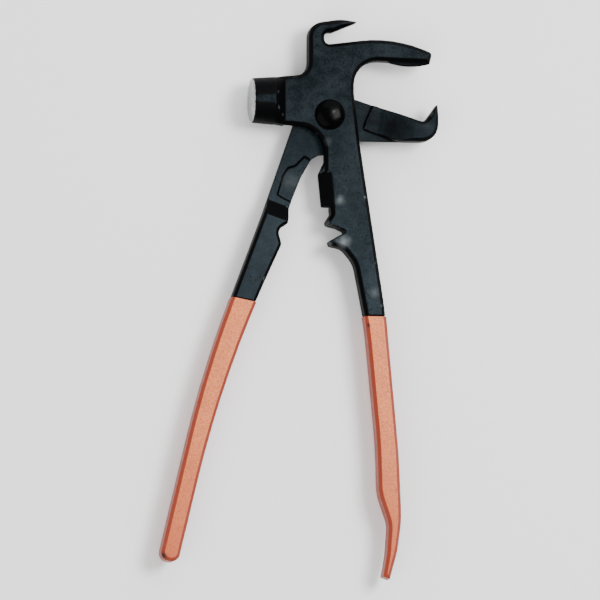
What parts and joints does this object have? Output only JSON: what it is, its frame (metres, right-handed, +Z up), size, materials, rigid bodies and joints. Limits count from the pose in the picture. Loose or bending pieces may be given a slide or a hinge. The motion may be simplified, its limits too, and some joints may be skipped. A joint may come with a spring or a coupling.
{
  "type": "plier hammer",
  "caption": "Two-lever forged plier hammer with hammer poll, hooked prising nose, gripping jaws, side shear cutter, V-notch and dipped orange handles.",
  "frame": {"origin": "on the surface the tool lies on, under the middle of its outline", "axes": "+Y from the handle ends towards the head, +Z up out of the front face, +X towards the jaws"},
  "size_m": [0.1294, 0.2586, 0.0222],
  "materials": {
    "black_steel": "forged steel with a satin black oxide, rubbed brighter on edges",
    "rivet_steel": "smooth blackened steel, semi-gloss",
    "orange_dip": "smooth satin dipped plastic"
  },
  "bodies": {
    "hammer_side": {"hammer_lever": "black_steel", "hammer_lever_grip": "orange_dip", "pivot_rivet": "rivet_steel"},
    "claw_side": {"claw_lever": "black_steel", "claw_lever_grip": "orange_dip"}
  },
  "joints": [
    {"name": "pivot", "type": "hinge", "parent": "hammer_side", "child": "claw_side", "pos_m": [0.01351, 0.08482, 0.0111], "axis": [0, 0, 1], "range_deg": [-4, 19.5]}
  ]
}
